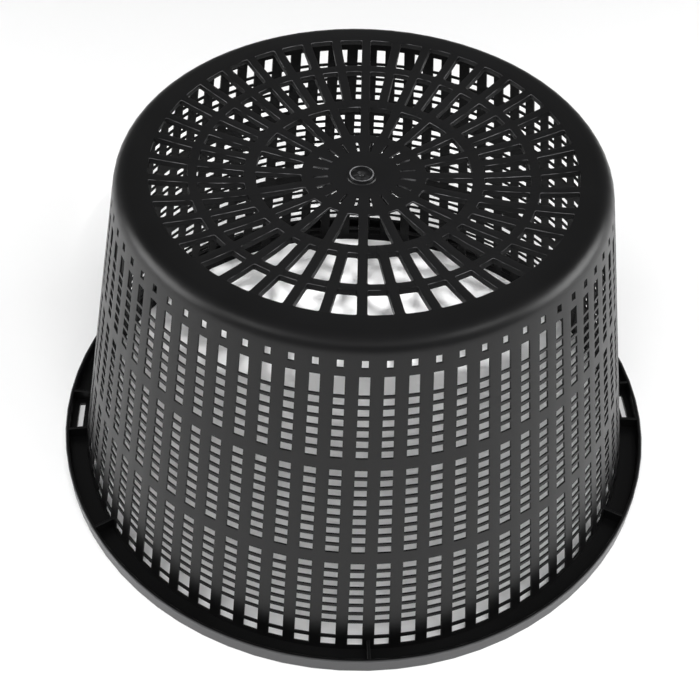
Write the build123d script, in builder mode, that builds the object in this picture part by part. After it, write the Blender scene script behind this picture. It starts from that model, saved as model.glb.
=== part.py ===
"""Hydroponic net pot, one moulded piece, standing upside down on its rim."""

import os
from math import atan, cos, degrees, radians, sin, tan

from build123d import *

# Overall form, millimetres and degrees
pot_height = 147.1
wall_lean = 11.2
wall_thickness = 1.2
base_thickness = 2.0
base_edge_radius = 7.0
outer_edge_facets = 4
inner_edge_facets = 2

# The base is dished: flat at its outer band, sinking ring by ring to the hub
outer_ring_drop = 3.0
middle_ring_drop = 1.9
inner_ring_drop = 1.1

# Rim: a flange on the floor with an upstanding lip around it
channel_width = 6.8
flange_thickness = 1.5
lip_thickness = 1.5
lip_height = 7.0

# Rings of windows in the base, from the hub outwards to the wall
spoke_width = 3.5
spoke_turn = -3.4
fine_spokes = 40
coarse_spokes = 20
hub_radius = 13.7
hub_slot_length = 6.0
hub_band = 3.9
inner_window_length = 17.2
inner_band = 4.4
middle_window_length = 17.3
outer_band = 3.5
outer_window_length = 14.3
dish_margin = 0.6
edge_band = 11.7

# Columns of wall slots in three tiers, from the flange up, and a row of small windows above them
columns = 72
mullion_width = 4.5
foot_rib = 1.8
lower_tier_height = 44.4
lower_belt = 5.3
middle_tier_height = 39.8
upper_belt = 5.1
head_belt = 13.9
edge_window_width = 2.4
edge_window_height = 3.1
edge_window_drop = 7.6

# Webs across the rim channel, and a handle slot between two of them on each side
web_thickness = 1.2
web_count = 6
handle_slot_width = 2.6
handle_slot_length = 16.0
handle_slot_gap = 1.6
handle_sides = 2

# Sizes worked out from those above
front = -90.0
column_pitch = 360 / columns
hub_slot_end = hub_radius + hub_slot_length
inner_window_start = hub_slot_end + hub_band
inner_window_end = inner_window_start + inner_window_length
middle_window_start = inner_window_end + inner_band
middle_window_end = middle_window_start + middle_window_length
outer_window_start = middle_window_end + outer_band
outer_window_end = outer_window_start + outer_window_length
dish_radius = outer_window_end + dish_margin
wall_base_radius = dish_radius + edge_band
wall_rim_radius = wall_base_radius + pot_height * tan(radians(wall_lean))
wall_run = wall_thickness / cos(radians(wall_lean))
rim_radius = wall_rim_radius + channel_width + lip_thickness
outer_fold = (middle_window_end + outer_window_start) / 2
middle_fold = (inner_window_end + middle_window_start) / 2
inner_fold = (hub_slot_end + inner_window_start) / 2
dish_depth = outer_ring_drop + middle_ring_drop + inner_ring_drop
inner_top = pot_height - base_thickness
hub_underside = inner_top - dish_depth
lower_tier_foot = flange_thickness + foot_rib
lower_tier_head = lower_tier_foot + lower_tier_height
middle_tier_foot = lower_tier_head + lower_belt
middle_tier_head = middle_tier_foot + middle_tier_height
upper_tier_foot = middle_tier_head + upper_belt
upper_tier_head = pot_height - head_belt
edge_window_head = pot_height - edge_window_drop
edge_window_middle = edge_window_head - edge_window_height / 2
handle_slot_radius = wall_rim_radius + handle_slot_gap + handle_slot_width / 2
dish_steps = (
    (outer_ring_drop, dish_radius - outer_fold),
    (middle_ring_drop, outer_fold - middle_fold),
    (inner_ring_drop, middle_fold - inner_fold),
)
base_rings = (
    (hub_radius, hub_slot_end, coarse_spokes),
    (inner_window_start, inner_window_end, coarse_spokes),
    (middle_window_start, middle_window_end, fine_spokes),
    (outer_window_start, outer_window_end, fine_spokes),
)
slot_tiers = (
    (lower_tier_foot, lower_tier_head),
    (middle_tier_foot, middle_tier_head),
    (upper_tier_foot, upper_tier_head),
)


def wall_radius(height):
    """Radius of the outer face of the wall at a height above the floor."""
    return wall_rim_radius - height * tan(radians(wall_lean))


def slot_width(height):
    """Width of a wall slot at a height: what the mullions leave of a column."""
    return 2 * wall_radius(height) * sin(radians(column_pitch / 2)) - mullion_width


def edge_height(radius):
    """Height that a rounding between the wall and the base takes up."""
    return radius * (1 - sin(radians(wall_lean)))


def edge_facets(radius, count):
    """Height and lean of each flat of that rounding, from the wall to the base."""
    turn = (90 - wall_lean) / count
    length = 2 * radius * sin(radians(turn / 2))
    leans = [wall_lean + turn * (facet + 0.5) for facet in range(count)]
    return [(length * cos(radians(lean)), lean) for lean in leans]


def column_plane(height, column):
    """Upright plane facing out from the middle of a column of the wall."""
    angle = radians(front + column_pitch * (column + 0.5))
    return Plane(
        origin=(wall_radius(height) * cos(angle), wall_radius(height) * sin(angle), height),
        x_dir=(-sin(angle), cos(angle), 0),
        z_dir=(cos(angle), sin(angle), 0),
    )


# The hollow of the dish, pointing up: one flat to each space between spokes
with BuildPart() as dish:
    with BuildSketch():
        RegularPolygon(dish_radius, fine_spokes, rotation=-spoke_turn)
    for drop, run in dish_steps:
        rising_face = dish.faces().sort_by(Axis.Z)[-1] if dish.faces() else None
        extrude(rising_face, amount=drop, taper=degrees(atan(run / drop)))

# The hollow of the pot: one flat to each column, up to the underside of the base
with BuildPart() as cavity:
    inner_edge_radius = base_edge_radius - wall_thickness
    with BuildSketch():
        RegularPolygon(wall_rim_radius - wall_run, columns)
    extrude(amount=inner_top - edge_height(inner_edge_radius), taper=wall_lean)
    for rise, lean in edge_facets(inner_edge_radius, inner_edge_facets):
        extrude(cavity.faces().sort_by(Axis.Z)[-1], amount=rise, taper=lean)
    with Locations((0, 0, inner_top)):
        add(dish.part, rotation=(180, 0, 0), mode=Mode.SUBTRACT)

with BuildPart() as net_pot:
    # Outer form: tapered wall, rounded edge and dished base
    with BuildSketch():
        RegularPolygon(wall_rim_radius, columns)
    extrude(amount=pot_height - edge_height(base_edge_radius), taper=wall_lean)
    for rise, lean in edge_facets(base_edge_radius, outer_edge_facets):
        extrude(net_pot.faces().sort_by(Axis.Z)[-1], amount=rise, taper=lean)
    with Locations((0, 0, pot_height)):
        add(dish.part, rotation=(180, 0, 0), mode=Mode.SUBTRACT)

    # Flange on the floor, and the lip around it
    with BuildSketch():
        RegularPolygon(rim_radius, columns)
    extrude(amount=flange_thickness)
    with BuildSketch():
        RegularPolygon(rim_radius, columns)
        RegularPolygon(rim_radius - lip_thickness, columns, mode=Mode.SUBTRACT)
    extrude(amount=lip_height)

    # Webs across the channel: evenly spaced ones, and a pair at each handle slot
    web_start = wall_radius(lip_height) - wall_run
    web_end = rim_radius - lip_thickness / 2
    with BuildSketch():
        with PolarLocations((web_start + web_end) / 2, web_count, start_angle=front):
            Rectangle(web_end - web_start, web_thickness)
        for side in (-column_pitch, column_pitch):
            with PolarLocations((web_start + web_end) / 2, handle_sides, start_angle=side):
                Rectangle(web_end - web_start, web_thickness)
    extrude(amount=lip_height)

    # Hollow, open at the rim
    add(cavity.part, mode=Mode.SUBTRACT)

    # Rings of windows in the base, parted by straight spokes
    for ring_start, ring_end, spokes in base_rings:
        with BuildSketch(Plane.XY.offset(hub_underside)):
            RegularPolygon(ring_end, fine_spokes, rotation=spoke_turn)
            RegularPolygon(ring_start, fine_spokes, rotation=spoke_turn, mode=Mode.SUBTRACT)
            with PolarLocations((ring_start + ring_end) / 2, spokes, start_angle=spoke_turn):
                Rectangle(ring_end - ring_start + spoke_width, spoke_width, mode=Mode.SUBTRACT)
        extrude(amount=pot_height - hub_underside, mode=Mode.SUBTRACT)

    # Columns of slots in the wall, parted by upright mullions
    for foot, head in slot_tiers:
        middle = (foot + head) / 2
        reach = (wall_radius(foot) - wall_radius(head)) / 2 + 2 * wall_run
        with BuildSketch(*[column_plane(middle, column) for column in range(columns)]):
            Polygon(
                (-slot_width(foot) / 2, foot - middle),
                (slot_width(foot) / 2, foot - middle),
                (slot_width(head) / 2, head - middle),
                (-slot_width(head) / 2, head - middle),
                align=None,
            )
        extrude(amount=reach, both=True, mode=Mode.SUBTRACT)

    # Row of small windows under the base edge
    with BuildSketch(*[column_plane(edge_window_middle, column) for column in range(columns)]):
        Rectangle(edge_window_width, edge_window_height)
    extrude(amount=2 * wall_run, both=True, mode=Mode.SUBTRACT)

    # Handle slots through the flange
    with BuildSketch():
        with PolarLocations(handle_slot_radius, handle_sides):
            Rectangle(handle_slot_width, handle_slot_length)
    extrude(amount=flange_thickness, mode=Mode.SUBTRACT)

os.makedirs("parts", exist_ok=True)
net_pot.part.label = "net_pot"
export_step(net_pot.part, "parts/net_pot.step")
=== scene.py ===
"""Dressed scene of an upturned hydroponic net pot, laid out as a Blender add-on."""

from math import atan, cos, pi, radians, sin, tan

import bmesh
import bpy
from mathutils import Matrix, Vector


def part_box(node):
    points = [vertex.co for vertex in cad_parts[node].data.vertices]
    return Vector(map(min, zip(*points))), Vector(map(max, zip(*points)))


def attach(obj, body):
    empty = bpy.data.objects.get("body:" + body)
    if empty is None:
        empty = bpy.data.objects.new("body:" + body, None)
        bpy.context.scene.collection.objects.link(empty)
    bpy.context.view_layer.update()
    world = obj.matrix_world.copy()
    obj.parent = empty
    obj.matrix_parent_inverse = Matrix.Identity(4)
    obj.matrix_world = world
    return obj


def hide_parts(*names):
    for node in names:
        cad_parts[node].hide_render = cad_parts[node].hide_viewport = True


bl_info = {
    "name": "Net Pot",
    "version": (1, 0, 0),
    "blender": (4, 5, 0),
    "location": "View3D > Sidebar > Net Pot",
    "description": "Builds an upturned hydroponic net pot, its finish and its studio",
    "category": "Add Mesh",
}

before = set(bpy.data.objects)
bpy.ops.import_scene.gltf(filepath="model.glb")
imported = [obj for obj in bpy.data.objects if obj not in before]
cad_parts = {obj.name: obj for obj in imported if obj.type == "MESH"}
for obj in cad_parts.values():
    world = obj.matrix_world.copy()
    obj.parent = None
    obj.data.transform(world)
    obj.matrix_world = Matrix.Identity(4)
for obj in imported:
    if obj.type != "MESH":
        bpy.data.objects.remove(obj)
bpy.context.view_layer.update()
NODE_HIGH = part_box("net_pot")[1]
MM = 0.001

# Distances that tell points, edges and faces apart by their place
MERGE_DISTANCE = 0.00002
HAIR = 0.01 * MM
NEAR = 0.1 * MM
RING_SAG = 0.4 * MM
CLEAR = 1 * MM
BAND_GAP = 3 * MM
SLOT_MARGIN = 6 * MM

# Angles between faces that make an edge sharp, and the rise of a face that still counts as upright
BASE_SHARP = radians(50)
WALL_SHARP = radians(40)
SMOOTH_LIMIT = radians(35)
UPRIGHT_RISE = 0.3

# Shares of a thickness: how far in the lip reaches, and how deep the outer skin of the wall goes
LIP_SHARE = 1.2
SKIN_SHARE = 0.75

# Steps of the round forms
EDGE_STEPS = 8
BASE_STEPS = 6
GATE_STEPS = 24
CORNER_SEGMENTS = 2

# Small lengths of the webs and of the gate mark
WEB_DROP = 0.1 * MM
GATE_SINK = 0.3 * MM
GATE_SLOPE = 0.3 * MM
STUB_RISE = 0.3 * MM
STUB_TEAR = 0.1 * MM
STUB_SEED = 7
STUB_SHARES = (0.7, 0.45, 0.2)

# How strongly a face that looks to the front gets the painted edge highlight
EDGE_HIGHLIGHT_GAIN = 2
SIDE_HIGHLIGHT_GAIN = 0.5

# Noise of the plastic, in waves to the metre: soft clouds, patches that break up the painted edge highlights
# and moulded grain
CLOUD_SCALE = 45
CLOUD_DETAIL = 4
PATCH_SCALE = 160
PATCH_DETAIL = 2
PATCH_RANGE = (0.4, 0.6)
GRAIN_SCALE = 1800
GRAIN_DETAIL = 2
GRAIN_DEPTH = 0.1 * MM

# Soft boxes, in metres: name, place, height of the point they face, width and height
SOFT_BOXES = (
    ("left_box", (-1.1, 0.0, 0.42), 0.05, 0.75, 0.55),
    ("right_box", (1.1, 0.0, 0.42), 0.05, 0.75, 0.55),
    ("front_left_box", (-0.95, -0.75, 1.15), 0.1, 0.5, 0.4),
    ("front_right_box", (0.95, -0.75, 1.15), 0.1, 0.5, 0.4),
    ("front_box", (0.0, -1.2, 1.2), 0.1, 1.4, 0.35),
    ("floor_key", (0.0, -0.8, 1.5), 0.0, 1.2, 0.7),
)

# Spots, floor and camera film, in metres and millimetres of film
SPOT_SIDES = (-0.3, 0.0, 0.3)
SPOT_FRONT = -0.9
SPOT_HEIGHT = 1.3
SPOT_BLEND = 0.3
SPOT_SOFTNESS = 0.02
FLOOR_SIZE = 12
FILM_WIDTH = 36


def length(name, description, millimetres):
    """A length property whose default is given in millimetres."""
    return bpy.props.FloatProperty(
        name=name, description=description, default=millimetres * MM, unit="LENGTH", precision=5
    )


def turn(name, description, angle):
    """An angle property whose default is given in degrees."""
    return bpy.props.FloatProperty(
        name=name, description=description, default=radians(angle), subtype="ANGLE"
    )


def share(name, description, value):
    """A property between nought and one."""
    return bpy.props.FloatProperty(
        name=name, description=description, default=value, min=0, max=1, subtype="FACTOR"
    )


def shade(name, description, red, green, blue):
    """A colour property."""
    return bpy.props.FloatVectorProperty(
        name=name, description=description, default=(red, green, blue), size=3, min=0, max=1, subtype="COLOR"
    )


def number(name, description, value):
    """A property that counts like things."""
    return bpy.props.IntProperty(name=name, description=description, default=value)


def power(name, description, watts):
    """The power of a light."""
    return bpy.props.FloatProperty(name=name, description=description, default=watts, unit="POWER")


class NetPotForm(bpy.types.PropertyGroup):
    """Overall sizes of the pot, in the frame of the solid."""

    rim_radius: length("Rim radius", "Outer radius of the lip", NODE_HIGH.x / MM)
    height: length("Height", "From the floor to the outer band of the base", NODE_HIGH.z / MM)
    wall_rim_radius: length("Wall radius at rim", "Outer wall radius carried down to the floor", 121.7)
    wall_base_radius: length("Wall radius at base", "Outer wall radius carried up to the base", 92.6)
    wall_thickness: length("Wall thickness", "Thickness of the net wall", 0.8)
    base_thickness: length("Base thickness", "Thickness of the dished base", 2.4)
    edge_radius: length("Base edge radius", "Rounding between the wall and the base", 7.0)
    dish_depth: length("Dish depth", "How far the hub lies below the outer band", 6.0)
    rim_thickness: length("Rim thickness", "Thickness of the flange and the lip", 1.5)
    lip_height: length("Lip height", "Height of the upstanding lip", 7.0)


class NetPotWall(bpy.types.PropertyGroup):
    """Columns and rows of windows in the wall."""

    columns: number("Columns", "Columns of windows round the wall", 72)
    mullion: length("Mullion width", "Width of the uprights between columns", 4.7)
    rib: length("Rib height", "Height of the cross ribs between small windows", 1.35)
    pitch: length("Row pitch", "Spacing of the small windows", 4.535)
    lower_rows: number("Lower rows", "Small windows in the lower tier", 7)
    lower_top: length("Lower tier", "Middle of the highest small window of the lower tier", 46.0)
    middle_rows: number("Middle rows", "Small windows in the middle tier", 9)
    middle_top: length("Middle tier", "Middle of the highest small window of the middle tier", 91.1)
    upper_rows: number("Upper rows", "Small windows in the upper tier", 6)
    upper_top: length("Upper tier", "Middle of the highest small window of the upper tier", 122.4)
    foot_window_foot: length("Foot window foot", "Foot of the short windows above the flange", 3.3)
    foot_window_head: length("Foot window head", "Head of the short windows above the flange", 7.3)
    low_window_foot: length("Low window foot", "Foot of the tall windows of the lower tier", 8.8)
    low_window_head: length("Low window head", "Head of the tall windows of the lower tier", 15.9)
    high_window_foot: length("High window foot", "Foot of the tall windows of the upper tier", 125.2)
    high_window_head: length("High window head", "Head of the tall windows of the upper tier", 133.0)
    edge_window_foot: length("Edge window foot", "Foot of the small windows under the base edge", 136.4)
    edge_window_head: length("Edge window head", "Head of the small windows under the base edge", 139.5)
    edge_mullion: length("Edge window upright", "Width of the uprights between those windows", 6.0)


class NetPotBase(bpy.types.PropertyGroup):
    """Rings of windows in the base."""

    spoke: length("Spoke width", "Width of the straight spokes", 3.5)
    spoke_turn: turn("Spoke turn", "Angle of the first spoke from the X axis", -3.4)
    coarse: number("Coarse spokes", "Spokes of the two inner rings", 20)
    hub: length("Hub radius", "Radius of the plain hub", 13.7)
    slot_end: length("Hub slot end", "Outer end of the slots round the hub", 19.7)
    slot_width: length("Hub slot width", "Width of the slots round the hub", 1.0)
    inner_start: length("Inner ring start", "Inner end of the inner ring of windows", 23.6)
    inner_end: length("Inner ring end", "Outer end of the inner ring of windows", 40.8)
    middle_start: length("Middle ring start", "Inner end of the middle ring of windows", 45.2)
    middle_end: length("Middle ring end", "Outer end of the middle ring of windows", 62.5)
    outer_start: length("Outer ring start", "Inner end of the outer ring of windows", 66.0)
    outer_end: length("Outer ring end", "Outer end of the outer ring of windows", 80.3)
    dish_radius: length("Dish radius", "Where the dish meets the flat outer band", 80.9)
    corner: length("Window corner", "Corner rounding of the base windows", 0.7)
    gate_radius: length("Gate mark radius", "Radius of the low boss at the middle of the hub", 5.8)
    gate_ring: length("Gate ring radius", "Radius of the ring that stands on the boss", 4.4)
    gate_width: length("Gate ring width", "Width of that ring", 0.9)
    gate_rise: length("Gate ring rise", "Height of that ring above the hub", 1.1)
    gate_side: length("Gate mark to the left", "How far the mark lies to the left of the axis", 1.0)
    gate_front: length("Gate mark to the front", "How far the mark lies in front of the axis", 1.2)
    arris: length("Base edge rounding", "Rounding of the upper edges of the base windows", 0.35)


class NetPotRim(bpy.types.PropertyGroup):
    """Webs and handle slots in the rim channel."""

    webs: number("Webs", "Webs spaced evenly round the channel", 6)
    web_thickness: length("Web thickness", "Thickness of each web", 1.2)
    web_sink: length("Web sink", "How far a web runs into what carries it", 0.5)
    web_arris: length("Web edge rounding", "Rounding of the edges of each web", 0.15)
    slot_radius: length("Handle slot radius", "Middle of the handle slot", 124.6)
    slot_width: length("Handle slot width", "Width of the handle slot", 2.6)
    slot_length: length("Handle slot length", "Length of the handle slot", 16.0)


class NetPotFinish(bpy.types.PropertyGroup):
    """The moulded plastic."""

    plastic: shade("Plastic", "Colour of the black plastic", 0.002, 0.002, 0.0021)
    dusty: shade("Dusty plastic", "Colour in the soft clouds of dust", 0.004, 0.004, 0.0042)
    # Painted light: a lighter grey on the outside of the lip for the light that falls on it
    lip_painted_light: shade("Painted lip light", "Colour painted on the outside of the lip for the light that falls on it", 0.06, 0.06, 0.062)
    sheen: share("Sheen", "Strength of the surface reflection", 0.33)
    gloss: share("Roughness", "Roughness of the satin surface", 0.36)
    gloss_change: share("Roughness change", "How much the roughness varies", 0.10)
    grain: share("Grain", "Strength of the fine moulded grain", 0.06)
    inner_sheen: share("Inner sheen", "Strength of the reflection inside the pot", 0.05)
    # Painted highlight: a lighter colour on edges that face the front, standing in for the glint of the
    # lights on them
    edge_highlight: shade("Painted edge highlight", "Colour of the painted highlight on edges that face the front", 0.10, 0.10, 0.103)
    wall_arris: length("Window edge rounding", "Rounding of the edges of the wall windows", 0.12)
    lip_arris: length("Lip edge rounding", "Rounding of the edges of the lip", 0.25)


class NetPotStudio(bpy.types.PropertyGroup):
    """Camera, light and floor."""

    lens: bpy.props.FloatProperty(name="Lens", description="Focal length in millimetres", default=63.0)
    camera_turn: turn("Camera turn", "Turn of the camera about the pot from the front web", -4.3)
    camera_reach: length("Camera reach", "Level distance from the pot's axis", 362.3)
    camera_height: length("Camera height", "Height of the camera", 434.1)
    aim_side: length("Aim to the side", "Aim point to the right of the axis", -3.0)
    aim_height: length("Aim height", "Height of the aim point", 43.5)
    roll: turn("Roll", "Roll of the camera", 2.0)
    floor: shade("Floor", "Colour of the floor", 0.92, 0.92, 0.92)
    floor_roughness: share("Floor roughness", "Roughness of the floor", 0.9)
    floor_sheen: share("Floor sheen", "Strength of the floor's reflection", 0.1)
    air: share("Air", "Strength of the even light from all round", 0.16)
    left_box: power("Left box", "Power of the soft box at the left", 7.5)
    right_box: power("Right box", "Power of the soft box at the right", 8.5)
    front_left_box: power("Front left box", "Power of the high box at the front left", 2.5)
    front_right_box: power("Front right box", "Power of the high box at the front right", 3)
    front_box: power("Front box", "Power of the long box at the front", 1.5)
    floor_key: power("Floor key", "Power of the box that lights the floor", 21)
    base_spot: power("Base spot", "Power of each spot that shines through the base", 65)


def pot():
    """The form of the pot in the open scene."""
    return bpy.context.scene.net_pot_form


def wall_radius(height):
    """Outer radius of the wall at a height above the floor."""
    form = pot()
    return form.wall_rim_radius + (form.wall_base_radius - form.wall_rim_radius) * height / form.height


def wall_taper():
    """Lean of the wall from upright, in radians."""
    form = pot()
    return atan((form.wall_rim_radius - form.wall_base_radius) / form.height)


def dish_height(radius):
    """Height of the upper face of the base at a radius."""
    form = pot()
    outward = min(radius / bpy.context.scene.net_pot_base.dish_radius, 1)
    return form.height - form.dish_depth * (1 - outward**3)


def deselect():
    """Leaves nothing selected and no object in edit mode."""
    if bpy.context.object and bpy.context.object.mode != "OBJECT":
        bpy.ops.object.mode_set(mode="OBJECT")
    bpy.ops.object.select_all(action="DESELECT")


def pick(piece):
    """Selects one piece alone and makes it the active one."""
    deselect()
    piece.select_set(True)
    bpy.context.view_layer.objects.active = piece


def edit(piece):
    """Opens one piece in edit mode with nothing selected."""
    pick(piece)
    bpy.ops.object.mode_set(mode="EDIT")
    bpy.ops.mesh.select_all(action="DESELECT")


def choose(piece, kind, test):
    """Selects the vertices, edges or faces of an open piece that pass a test."""
    bpy.ops.mesh.select_mode(type={"verts": "VERT", "edges": "EDGE", "faces": "FACE"}[kind])
    bpy.ops.mesh.select_all(action="DESELECT")
    mesh = bmesh.from_edit_mesh(piece.data)
    chosen = [item for item in getattr(mesh, kind) if test(item)]
    for item in chosen:
        item.select_set(True)
    mesh.select_flush_mode()
    bmesh.update_edit_mesh(piece.data)


def weld(distance):
    """Merges the points of the open piece that lie together."""
    bpy.ops.mesh.select_all(action="SELECT")
    bpy.ops.mesh.remove_doubles(threshold=distance)


def middle_of(item):
    """Middle of an edge or face."""
    return sum((vert.co for vert in item.verts), Vector()) / len(item.verts)


def draw_section(name, points):
    """Draws an open line through the points, starting from one corner of a small plane."""
    deselect()
    bpy.ops.mesh.primitive_plane_add(size=2 * MM)
    piece = bpy.context.object
    piece.name = name
    piece.data.name = name
    edit(piece)
    choose(piece, "verts", lambda vert: vert.index > 0)
    bpy.ops.mesh.delete(type="VERT")
    bpy.ops.mesh.select_all(action="SELECT")
    corner = bmesh.from_edit_mesh(piece.data).verts[:][0].co.copy()
    bpy.ops.transform.translate(value=Vector(points[0]) - corner)
    for start, end in zip(points, points[1:]):
        bpy.ops.mesh.extrude_vertices_move(TRANSFORM_OT_translate={"value": Vector(end) - Vector(start)})
    return piece


def sweep(angle, steps):
    """Sweeps the open line about the upright axis."""
    bpy.ops.mesh.select_all(action="SELECT")
    bpy.ops.mesh.spin(steps=steps, angle=angle, center=(0, 0, 0), axis=(0, 0, 1))
    weld(MERGE_DISTANCE)


def repeat_round(copies):
    """Copies the open sector until it closes the circle, and welds the seams."""
    angle = 2 * pi * (copies - 1) / copies
    bpy.ops.mesh.select_all(action="SELECT")
    bpy.ops.mesh.spin(steps=copies - 1, dupli=True, angle=angle, center=(0, 0, 0), axis=(0, 0, 1))
    weld(MERGE_DISTANCE)


def face_up(piece):
    """Turns the faces of the open sheet to the outside of the pot."""
    bpy.ops.mesh.select_all(action="SELECT")
    bpy.ops.mesh.normals_make_consistent(inside=False)
    top = max(bmesh.from_edit_mesh(piece.data).faces, key=lambda face: middle_of(face).z)
    if top.normal.z < 0:
        bpy.ops.mesh.flip_normals()


def left_of(point, axis_angle):
    """Distance of a point to the left of a radial line."""
    return -point.x * sin(axis_angle) + point.y * cos(axis_angle)


def beside(point, axis_angle):
    """Distance of a point from the upright plane through a radial line."""
    return abs(left_of(point, axis_angle))


def cut_beside(piece, axis_angle, offset, test):
    """Cuts the faces that pass a test along the upright plane beside a radial line."""
    choose(piece, "faces", test)
    normal = Vector((-sin(axis_angle), cos(axis_angle), 0))
    bpy.ops.mesh.bisect(plane_co=normal * offset, plane_no=normal)


def window_rows():
    """Foot and head of each row of wall windows, from the flange up."""
    wall = bpy.context.scene.net_pot_wall
    rows = [(wall.foot_window_foot, wall.foot_window_head), (wall.low_window_foot, wall.low_window_head)]
    tiers = (
        (wall.lower_rows, wall.lower_top),
        (wall.middle_rows, wall.middle_top),
        (wall.upper_rows, wall.upper_top),
    )
    half = (wall.pitch - wall.rib) / 2
    for count, top in tiers:
        middles = [top - wall.pitch * step for step in reversed(range(count))]
        rows += [(middle - half, middle + half) for middle in middles]
    rows.append((wall.high_window_foot, wall.high_window_head))
    return rows


def edge_point(angle):
    """Point on the rounding between the wall and the base, by the angle of its normal."""
    form = pot()
    middle = form.wall_base_radius - form.edge_radius * tan((pi / 2 - wall_taper()) / 2)
    return middle + form.edge_radius * cos(angle), form.height - form.edge_radius * (1 - sin(angle))


def wall_section():
    """Section of the pot from the lip's top, down the channel and up the wall to the outer band."""
    form = pot()
    wall = bpy.context.scene.net_pot_wall
    lip = form.rim_radius - form.rim_thickness
    line = [
        (lip, form.lip_height),
        (lip, form.rim_thickness),
        (wall_radius(form.rim_thickness), form.rim_thickness),
    ]
    for foot, head in window_rows():
        line += [(wall_radius(foot), foot), (wall_radius(head), head)]
    for height in (wall.edge_window_foot, wall.edge_window_head):
        line.append((wall_radius(height), height))
    start = wall_taper()
    line += [edge_point(start + (pi / 2 - start) * step / EDGE_STEPS) for step in range(EDGE_STEPS + 1)]
    line.append((bpy.context.scene.net_pot_base.dish_radius + BAND_GAP, form.height))
    return [(radius, 0, height) for radius, height in line]


def make_wall():
    """The rim channel, the net wall and the rounded edge, as one thin sheet."""
    wall = bpy.context.scene.net_pot_wall
    piece = draw_section("pot_shell", wall_section())
    sector = 2 * pi / wall.columns
    sweep(sector, 1)
    mesh = bmesh.from_edit_mesh(piece.data)
    side = 1 if max(vert.co.y for vert in mesh.verts) > CLEAR else -1
    rows = window_rows()

    def in_edge_row(face):
        return wall.edge_window_foot < middle_of(face).z < wall.edge_window_head

    def on_wall(face):
        middle = middle_of(face)
        return rows[0][0] < middle.z < rows[-1][1] and middle.xy.length < pot().wall_rim_radius

    def in_rows(face):
        height = middle_of(face).z
        return on_wall(face) and any(foot < height < head for foot, head in rows)

    for test, upright in ((on_wall, wall.mullion), (in_edge_row, wall.edge_mullion)):
        cut_beside(piece, 0, side * upright / 2, test)
        cut_beside(piece, side * sector, -side * upright / 2, test)

    def is_window(face):
        middle = middle_of(face)
        clear = min(beside(middle, 0), beside(middle, side * sector))
        small = in_edge_row(face) and clear > wall.edge_mullion / 2
        return small or (in_rows(face) and clear > wall.mullion / 2)

    choose(piece, "faces", is_window)
    bpy.ops.mesh.delete(type="FACE")
    repeat_round(wall.columns)
    face_up(piece)
    bpy.ops.object.mode_set(mode="OBJECT")
    return piece


def make_base():
    """The dished base with its rings of windows, as one thin sheet."""
    base = bpy.context.scene.net_pot_base
    first = base.spoke_turn
    rings = (
        (base.hub, base.slot_end),
        (base.inner_start, base.inner_end),
        (base.middle_start, base.middle_end),
        (base.outer_start, base.outer_end),
    )
    radii = [0, base.hub / 2]
    for start, end in rings:
        radii += [start, (start + end) / 2, end]
    radii.append(base.dish_radius)
    points = [(radius * cos(first), radius * sin(first), dish_height(radius)) for radius in radii]
    piece = draw_section("pot_base", points)
    sector = 2 * pi / base.coarse
    sweep(sector, BASE_STEPS)
    middle = sum((vert.co for vert in bmesh.from_edit_mesh(piece.data).verts), Vector())
    side = 1 if left_of(middle, first) > 0 else -1
    spokes = [first, first + side * sector / 2, first + side * sector]
    for axis_angle, spoke_start in zip(spokes, (base.slot_end, base.inner_end, base.slot_end)):
        for offset in (-base.spoke / 2, base.spoke / 2):
            cut_beside(piece, axis_angle, offset, lambda face: middle_of(face).xy.length > spoke_start)

    def at_hub_slots(face):
        return base.hub < middle_of(face).xy.length < base.slot_end

    for offset in (-base.slot_width / 2, base.slot_width / 2):
        cut_beside(piece, spokes[1], offset, at_hub_slots)

    def is_window(face):
        at = middle_of(face)
        if at_hub_slots(face):
            return beside(at, spokes[1]) < base.slot_width / 2
        for start, end in rings[1:]:
            if start < at.xy.length < end:
                carriers = spokes if start > base.inner_end else spokes[::2]
                return min(beside(at, axis_angle) for axis_angle in carriers) > base.spoke / 2
        return False

    choose(piece, "faces", is_window)
    bpy.ops.mesh.delete(type="FACE")

    def is_corner(vert):
        reach = vert.co.xy.length
        if not vert.is_boundary or reach <= base.slot_end + CLEAR:
            return False
        at_end = min(abs(reach - radius) for ring in rings for radius in ring) < RING_SAG
        at_side = min(abs(beside(vert.co, axis_angle) - base.spoke / 2) for axis_angle in spokes) < HAIR
        return at_end and at_side

    choose(piece, "verts", is_corner)
    bpy.ops.mesh.bevel(offset=base.corner, segments=CORNER_SEGMENTS, affect="VERTICES")
    weld(NEAR)
    repeat_round(base.coarse)
    face_up(piece)
    bpy.ops.object.mode_set(mode="OBJECT")
    return piece


def join_base(piece, base_piece):
    """Joins the base to the wall and bridges the outer band between them."""
    base = bpy.context.scene.net_pot_base
    pick(piece)
    base_piece.select_set(True)
    bpy.ops.object.join()
    edit(piece)

    def is_band_edge(item):
        middle = middle_of(item)
        near = base.dish_radius - RING_SAG < middle.xy.length < base.dish_radius + BAND_GAP + CLEAR
        return item.is_boundary and near and middle.z > pot().height - CLEAR / 2

    choose(piece, "edges", is_band_edge)
    bpy.ops.mesh.bridge_edge_loops()
    face_up(piece)
    bpy.ops.object.mode_set(mode="OBJECT")


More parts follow.
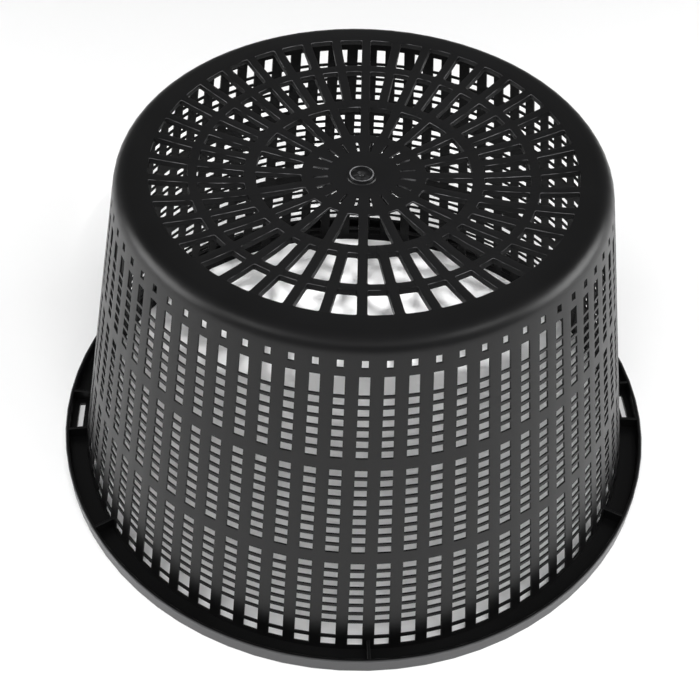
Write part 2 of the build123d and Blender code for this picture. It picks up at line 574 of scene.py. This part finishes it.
def cut_handle_slots(piece):
    """Opens the two handle slots in the flange."""
    rim = bpy.context.scene.net_pot_rim
    form = pot()
    edit(piece)
    near = rim.slot_radius - rim.slot_width / 2
    far = rim.slot_radius + rim.slot_width / 2
    half = rim.slot_length / 2

    def on_flange(face):
        middle = middle_of(face)
        level = abs(middle.z - form.rim_thickness) < NEAR
        return level and abs(middle.x) > near - SLOT_MARGIN and abs(middle.y) < half + SLOT_MARGIN

    for side in (-1, 1):
        for point, normal in (
            ((side * near, 0, 0), (1, 0, 0)),
            ((side * far, 0, 0), (1, 0, 0)),
            ((0, side * half, 0), (0, 1, 0)),
        ):
            choose(piece, "faces", on_flange)
            bpy.ops.mesh.bisect(plane_co=point, plane_no=normal)

    def in_slot(face):
        middle = middle_of(face)
        return on_flange(face) and near < abs(middle.x) < far and abs(middle.y) < half

    choose(piece, "faces", in_slot)
    bpy.ops.mesh.delete(type="FACE")
    bpy.ops.object.mode_set(mode="OBJECT")


def thicken(piece):
    """Gives the sheet the wall, base and rim thicknesses."""
    form = pot()
    base = bpy.context.scene.net_pot_base
    group = piece.vertex_groups.new(name="thickness")
    wall_share = form.wall_thickness / form.base_thickness
    rim_share = form.rim_thickness / form.base_thickness
    start = edge_point(wall_taper())[1]
    for vert in piece.data.vertices:
        reach = vert.co.xy.length
        if vert.co.z < form.rim_thickness + NEAR or reach > form.wall_rim_radius + CLEAR:
            weight = rim_share
        elif vert.co.z <= start:
            weight = wall_share
        elif reach < base.dish_radius + BAND_GAP + CLEAR:
            weight = 1
        else:
            risen = (vert.co.z - start) / (form.height - start)
            weight = wall_share + (1 - wall_share) * risen
        group.add([vert.index], weight, "REPLACE")
    solid = piece.modifiers.new("thickness", "SOLIDIFY")
    solid.thickness = form.base_thickness
    solid.offset = -1
    solid.use_even_offset = True
    solid.use_quality_normals = True
    solid.vertex_group = group.name
    pick(piece)
    bpy.ops.object.modifier_apply(modifier=solid.name)


def front_highlight(face, gain):
    """How much painted highlight a face gets, going by how far it looks to the front."""
    return min(max(-gain * face.normal.y, 0), 1)


def mark_highlight(piece, share_of):
    """Writes how much painted highlight each chosen face of an open piece gets."""
    mesh = bmesh.from_edit_mesh(piece.data)
    worn = mesh.faces.layers.float.get("worn") or mesh.faces.layers.float.new("worn")
    for face in mesh.faces:
        if face.select:
            face[worn] = share_of(face)
    bmesh.update_edit_mesh(piece.data)


def round_base_windows(piece):
    """Rounds the upper edges of the base windows and paints a highlight on those that face the front and on
    the sides of the hub slots.
    """
    base = bpy.context.scene.net_pot_base
    edit(piece)

    def is_upper_edge(item):
        if len(item.link_faces) != 2 or item.calc_face_angle() < BASE_SHARP:
            return False
        middle = middle_of(item)
        level = abs(middle.z - dish_height(middle.xy.length)) < pot().base_thickness / 3
        return level and base.slot_end + CLEAR < middle.xy.length < base.dish_radius

    choose(piece, "edges", is_upper_edge)
    bpy.ops.mesh.bevel(offset=base.arris, segments=CORNER_SEGMENTS, affect="EDGES", clamp_overlap=True)
    # Paints a highlight on the rounded edges, stronger the more they face the front
    mark_highlight(piece, lambda face: front_highlight(face, EDGE_HIGHLIGHT_GAIN))

    def is_slot_side(face):
        upright = abs(face.normal.z) < UPRIGHT_RISE
        return upright and base.hub < middle_of(face).xy.length < base.slot_end

    # Paints a highlight on the sides of the hub slots that face the front
    choose(piece, "faces", is_slot_side)
    mark_highlight(piece, lambda face: front_highlight(face, SIDE_HIGHLIGHT_GAIN))
    bpy.ops.object.mode_set(mode="OBJECT")


def round_edges(piece, width, test):
    """Rounds the sharp edges of an open piece that pass a test."""

    def is_sharp(item):
        return len(item.link_faces) == 2 and item.calc_face_angle() > WALL_SHARP

    choose(piece, "edges", lambda item: is_sharp(item) and test(middle_of(item)))
    bpy.ops.mesh.bevel(offset=width, segments=1, affect="EDGES", clamp_overlap=False)


def round_wall_and_lip(piece):
    """Rounds the edges of the wall windows and of the lip."""
    finish = bpy.context.scene.net_pot_finish
    form = pot()
    foot = 2 * form.rim_thickness
    head = edge_point(wall_taper())[1]
    base_reach = edge_point(pi / 2)[0]
    lip = form.rim_radius - LIP_SHARE * form.rim_thickness
    edit(piece)
    round_edges(
        piece, finish.wall_arris, lambda at: foot < at.z < head and base_reach < at.xy.length < lip
    )
    round_edges(piece, finish.lip_arris, lambda at: at.xy.length > lip)
    weld(MERGE_DISTANCE / 4)
    smooth(piece)


def smooth(piece):
    """Shades a piece smooth, save at its sharp edges."""
    pick(piece)
    bpy.ops.object.shade_smooth_by_angle(angle=SMOOTH_LIMIT)


def finish_piece(piece):
    """Gives a piece its plastic and its place on the pot."""
    finish = bpy.context.scene.net_pot_finish
    piece.data.materials.clear()
    piece.data.materials.append(black_plastic("satin_black_plastic", finish.sheen))
    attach(piece, "root")


def dull_inside(piece):
    """Gives the inside of the wall its duller plastic."""
    finish = bpy.context.scene.net_pot_finish
    form = pot()
    piece.data.materials.append(black_plastic("dull_black_plastic", finish.inner_sheen))
    roof = form.height - form.dish_depth - form.base_thickness
    skin = form.wall_rim_radius - SKIN_SHARE * form.wall_thickness

    def is_inside(face):
        middle = middle_of(face)
        return middle.z < roof and middle.xy.length + middle.z * tan(wall_taper()) < skin

    edit(piece)
    choose(piece, "faces", is_inside)
    piece.active_material_index = 1
    bpy.ops.object.material_slot_assign()
    bpy.ops.object.mode_set(mode="OBJECT")


def noise(tree, place, scale, detail):
    """A noise on object coordinates."""
    node = tree.nodes.new("ShaderNodeTexNoise")
    node.inputs["Scale"].default_value = scale
    node.inputs["Detail"].default_value = detail
    tree.links.new(place, node.inputs["Vector"])
    return node.outputs["Fac"]


def span(tree, value, low, high, bottom=0, top=1):
    """A value carried from one range to another, stopping at its ends."""
    node = tree.nodes.new("ShaderNodeMapRange")
    node.inputs["From Min"].default_value = low
    node.inputs["From Max"].default_value = high
    node.inputs["To Min"].default_value = bottom
    node.inputs["To Max"].default_value = top
    tree.links.new(value, node.inputs["Value"])
    return node.outputs["Result"]


def cover(tree, factor, colour):
    """A mix that covers what is linked to its first colour with another colour."""
    node = tree.nodes.new("ShaderNodeMix")
    node.data_type = "RGBA"
    node.inputs["B"].default_value = (*colour, 1)
    tree.links.new(factor, node.inputs["Factor"])
    return node


def lip_mask(tree, place):
    """One on the outside of the lip, where the painted light goes, and nought elsewhere, by the distance
    from the axis.
    """
    form = pot()
    flat = tree.nodes.new("ShaderNodeVectorMath")
    flat.operation = "MULTIPLY"
    flat.inputs[1].default_value = (1, 1, 0)
    tree.links.new(place, flat.inputs[0])
    reach = tree.nodes.new("ShaderNodeVectorMath")
    reach.operation = "LENGTH"
    tree.links.new(flat.outputs["Vector"], reach.inputs[0])
    start = form.rim_radius - form.rim_thickness / 2
    end = form.rim_radius - form.rim_thickness / 4
    return span(tree, reach.outputs["Value"], start, end)


def highlight_mask(tree, place):
    """The painted highlight share of each face, broken up in patches."""
    edge = tree.nodes.new("ShaderNodeAttribute")
    edge.attribute_name = "worn"
    patches = span(tree, noise(tree, place, PATCH_SCALE, PATCH_DETAIL), *PATCH_RANGE)
    worn = tree.nodes.new("ShaderNodeMath")
    worn.operation = "MULTIPLY"
    tree.links.new(edge.outputs["Fac"], worn.inputs[0])
    tree.links.new(patches, worn.inputs[1])
    return worn.outputs["Value"]


def black_plastic(name, sheen):
    """Black moulded plastic with a fine grain, soft changes of gloss, painted light on the outside of the
    lip and painted highlights on edges that face the front.
    """
    finish = bpy.context.scene.net_pot_finish
    if name in bpy.data.materials:
        return bpy.data.materials[name]
    material = bpy.data.materials.new(name)
    material.use_nodes = True
    tree = material.node_tree
    shader = tree.nodes["Principled BSDF"]
    shader.inputs["Specular IOR Level"].default_value = sheen
    place = tree.nodes.new("ShaderNodeTexCoord").outputs["Object"]

    cloud = noise(tree, place, CLOUD_SCALE, CLOUD_DETAIL)
    tint = cover(tree, cloud, finish.dusty)
    tint.inputs["A"].default_value = (*finish.plastic, 1)
    # Painted light on the outside of the lip
    lit_lip = cover(tree, lip_mask(tree, place), finish.lip_painted_light)
    tree.links.new(tint.outputs["Result"], lit_lip.inputs["A"])
    # Painted highlight on the edges that face the front, broken up in patches
    highlight = cover(tree, highlight_mask(tree, place), finish.edge_highlight)
    tree.links.new(lit_lip.outputs["Result"], highlight.inputs["A"])
    tree.links.new(highlight.outputs["Result"], shader.inputs["Base Color"])

    half = finish.gloss_change / 2
    gloss = span(tree, cloud, 0, 1, finish.gloss - half, finish.gloss + half)
    tree.links.new(gloss, shader.inputs["Roughness"])

    bump = tree.nodes.new("ShaderNodeBump")
    bump.inputs["Strength"].default_value = finish.grain
    bump.inputs["Distance"].default_value = GRAIN_DEPTH
    tree.links.new(noise(tree, place, GRAIN_SCALE, GRAIN_DETAIL), bump.inputs["Height"])
    tree.links.new(bump.outputs["Normal"], shader.inputs["Normal"])
    return material


class NETPOT_OT_shell(bpy.types.Operator):
    """Builds the wall, base and rim of the pot as one moulded shell."""

    bl_idname = "net_pot.shell"
    bl_label = "Pot Shell"

    def execute(self, context):
        piece = make_wall()
        join_base(piece, make_base())
        cut_handle_slots(piece)
        thicken(piece)
        round_base_windows(piece)
        round_wall_and_lip(piece)
        finish_piece(piece)
        dull_inside(piece)
        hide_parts("net_pot")
        return {"FINISHED"}


class NETPOT_OT_webs(bpy.types.Operator):
    """Builds the webs that bridge the rim channel."""

    bl_idname = "net_pot.webs"
    bl_label = "Rim Webs"

    def execute(self, context):
        form = pot()
        rim = context.scene.net_pot_rim
        pitch = 2 * pi / context.scene.net_pot_wall.columns
        angles = [-pi / 2 + 2 * pi * step / rim.webs for step in range(rim.webs)]
        angles += [side + lean for side in (0, pi) for lean in (-pitch, pitch)]
        inner = wall_radius(form.rim_thickness) - rim.web_sink
        outer = form.rim_radius - form.rim_thickness + rim.web_sink
        foot = form.rim_thickness - rim.web_sink
        head = form.lip_height - WEB_DROP
        deselect()
        bpy.ops.mesh.primitive_cube_add(size=1)
        pattern = context.object
        edit(pattern)
        bpy.ops.mesh.select_all(action="SELECT")
        bpy.ops.transform.resize(value=(outer - inner, rim.web_thickness, head - foot))
        bpy.ops.transform.translate(value=((outer + inner) / 2, 0, (head + foot) / 2))
        choose(pattern, "verts", lambda vert: vert.co.x < inner + CLEAR and vert.co.z > head - CLEAR)
        bpy.ops.transform.translate(value=(wall_radius(head) - wall_radius(form.rim_thickness), 0, 0))
        round_edges(pattern, rim.web_arris, lambda at: True)
        smooth(pattern)
        webs = []
        for angle in angles:
            web = bpy.data.objects.new("rim_web_copy", pattern.data.copy())
            web.data.transform(Matrix.Rotation(angle, 4, "Z"))
            context.collection.objects.link(web)
            webs.append(web)
        deselect()
        bpy.data.objects.remove(pattern)
        for web in webs:
            web.select_set(True)
        context.view_layer.objects.active = webs[0]
        bpy.ops.object.join()
        piece = context.object
        piece.name = "rim_webs"
        piece.data.name = "rim_webs"
        finish_piece(piece)
        return {"FINISHED"}


class NETPOT_OT_gate_mark(bpy.types.Operator):
    """Builds the boss, ring and torn stub left by the moulding gate at the middle of the hub."""

    bl_idname = "net_pot.gate_mark"
    bl_label = "Gate Mark"

    def execute(self, context):
        base = context.scene.net_pot_base
        hub = dish_height(0)
        boss = hub + base.gate_rise / 3
        crest = hub + base.gate_rise
        half = base.gate_width / 2
        stub_foot, stub_crest, stub_dip = [base.gate_ring * part for part in STUB_SHARES]
        points = (
            (0, 0, hub - GATE_SINK),
            (base.gate_radius, 0, hub - GATE_SINK),
            (base.gate_radius, 0, hub),
            (base.gate_radius - GATE_SLOPE, 0, boss),
            (base.gate_ring + half, 0, boss),
            (base.gate_ring + half / 2, 0, crest),
            (base.gate_ring - half / 2, 0, crest),
            (base.gate_ring - half, 0, boss),
            (stub_foot, 0, boss),
            (stub_crest, 0, boss + STUB_RISE),
            (stub_dip, 0, boss),
            (0, 0, boss + STUB_RISE),
        )
        piece = draw_section("gate_mark", points)
        sweep(2 * pi, GATE_STEPS)
        bpy.ops.mesh.normals_make_consistent(inside=False)
        inner = base.gate_ring - half - NEAR
        choose(piece, "verts", lambda vert: vert.co.xy.length < inner and vert.co.z > hub)
        bpy.ops.transform.vertex_random(offset=STUB_TEAR, uniform=1, normal=0, seed=STUB_SEED)

        # Painted highlight on the crest of the gate ring and on the stub faces that face the front
        def highlight(face):
            middle = middle_of(face)
            if middle.xy.length < inner and middle.z > hub:
                return front_highlight(face, SIDE_HIGHLIGHT_GAIN)
            return 1 if middle.z > crest - NEAR else 0

        bpy.ops.mesh.select_all(action="SELECT")
        mark_highlight(piece, highlight)
        bpy.ops.transform.translate(value=(-base.gate_side, -base.gate_front, 0))
        smooth(piece)
        finish_piece(piece)
        return {"FINISHED"}


def place_light(lamp, at, aim):
    """Puts a light at a place, facing a point."""
    light = bpy.data.objects.new(lamp.name, lamp)
    bpy.context.collection.objects.link(light)
    light.location = at
    light.rotation_euler = (Vector(aim) - Vector(at)).to_track_quat("-Z", "Y").to_euler()
    return light


def soft_light(name, at, aim, width, height, watts):
    """A soft box that faces a point."""
    lamp = bpy.data.lights.new(name, "AREA")
    lamp.shape = "RECTANGLE"
    lamp.size = width
    lamp.size_y = height
    lamp.energy = watts
    return place_light(lamp, at, aim)


def spot_light(at, aim, watts):
    """A narrow spot that shines through the base windows onto the floor inside."""
    lamp = bpy.data.lights.new("base_spot", "SPOT")
    lamp.energy = watts
    throw = (Vector(at) - Vector(aim)).length
    lamp.spot_size = 2 * atan(bpy.context.scene.net_pot_base.outer_end / throw)
    lamp.spot_blend = SPOT_BLEND
    lamp.shadow_soft_size = SPOT_SOFTNESS
    return place_light(lamp, at, aim)


def light_pot():
    """The even light from all round, the soft boxes and the spots."""
    scene = bpy.context.scene
    studio = scene.net_pot_studio
    world = bpy.data.worlds.new("studio_air")
    world.use_nodes = True
    air = world.node_tree.nodes["Background"]
    air.inputs["Color"].default_value = (1, 1, 1, 1)
    air.inputs["Strength"].default_value = studio.air
    scene.world = world
    for name, at, aim_height, width, height in SOFT_BOXES:
        box = soft_light(name, at, (0, 0, aim_height), width, height, getattr(studio, name))
        box.visible_glossy = name != "floor_key"
    for side in SPOT_SIDES:
        spot = spot_light((side, SPOT_FRONT, SPOT_HEIGHT), (0, 0, pot().height), studio.base_spot)
        spot.visible_glossy = False


def pale_floor():
    """The floor and its plain pale finish."""
    studio = bpy.context.scene.net_pot_studio
    deselect()
    bpy.ops.mesh.primitive_plane_add(size=FLOOR_SIZE)
    floor = bpy.context.object
    floor.name = "studio_floor"
    material = bpy.data.materials.new("pale_floor")
    material.use_nodes = True
    shader = material.node_tree.nodes["Principled BSDF"]
    shader.inputs["Base Color"].default_value = (*studio.floor, 1)
    shader.inputs["Roughness"].default_value = studio.floor_roughness
    shader.inputs["Specular IOR Level"].default_value = studio.floor_sheen
    floor.data.materials.append(material)


def place_camera():
    """The camera at the photograph's view."""
    scene = bpy.context.scene
    studio = scene.net_pot_studio
    turned = Matrix.Rotation(studio.camera_turn, 3, "Z")
    at = turned @ Vector((0, -studio.camera_reach, studio.camera_height))
    aim = Vector((studio.aim_side, 0, studio.aim_height))
    back = (at - aim).normalized()
    right = Vector((0, 0, 1)).cross(back).normalized()
    up = back.cross(right)
    across = right * cos(studio.roll) + up * sin(studio.roll)
    upward = up * cos(studio.roll) - right * sin(studio.roll)
    data = bpy.data.cameras.new("studio_camera")
    data.lens = studio.lens
    data.sensor_width = FILM_WIDTH
    camera = bpy.data.objects.new("studio_camera", data)
    scene.collection.objects.link(camera)
    facing = Matrix((across, upward, back)).transposed().to_4x4()
    camera.matrix_world = Matrix.Translation(at) @ facing
    scene.camera = camera


class NETPOT_OT_stage(bpy.types.Operator):
    """Builds the floor, the soft light and the camera."""

    bl_idname = "net_pot.stage"
    bl_label = "Studio"

    def execute(self, context):
        pale_floor()
        light_pot()
        context.scene.view_settings.view_transform = "Standard"
        place_camera()
        return {"FINISHED"}


class NETPOT_PT_sidebar(bpy.types.Panel):
    """Lists the pot's operators and sizes."""

    bl_idname = "NETPOT_PT_sidebar"
    bl_label = "Net Pot"
    bl_space_type = "VIEW_3D"
    bl_region_type = "UI"
    bl_category = "Net Pot"

    def draw(self, context):
        for operator in OPERATORS:
            self.layout.operator(operator.bl_idname)
        for name, group in GROUPS:
            box = self.layout.box()
            box.label(text=group.__doc__)
            for key in group.__annotations__:
                box.prop(getattr(context.scene, name), key)


OPERATORS = (NETPOT_OT_shell, NETPOT_OT_webs, NETPOT_OT_gate_mark, NETPOT_OT_stage)
GROUPS = (
    ("net_pot_form", NetPotForm),
    ("net_pot_wall", NetPotWall),
    ("net_pot_base", NetPotBase),
    ("net_pot_rim", NetPotRim),
    ("net_pot_finish", NetPotFinish),
    ("net_pot_studio", NetPotStudio),
)


def register():
    """Registers the sizes, the operators and the panel."""
    for name, group in GROUPS:
        bpy.utils.register_class(group)
        setattr(bpy.types.Scene, name, bpy.props.PointerProperty(type=group))
    for made in (*OPERATORS, NETPOT_PT_sidebar):
        bpy.utils.register_class(made)


def unregister():
    """Takes out what register put in."""
    for made in reversed((*OPERATORS, NETPOT_PT_sidebar)):
        bpy.utils.unregister_class(made)
    for name, group in reversed(GROUPS):
        delattr(bpy.types.Scene, name)
        bpy.utils.unregister_class(group)


def main():
    """Builds the pot and its studio."""
    register()
    bpy.ops.net_pot.shell()
    bpy.ops.net_pot.webs()
    bpy.ops.net_pot.gate_mark()
    bpy.ops.net_pot.stage()


if __name__ == "__main__":
    main()
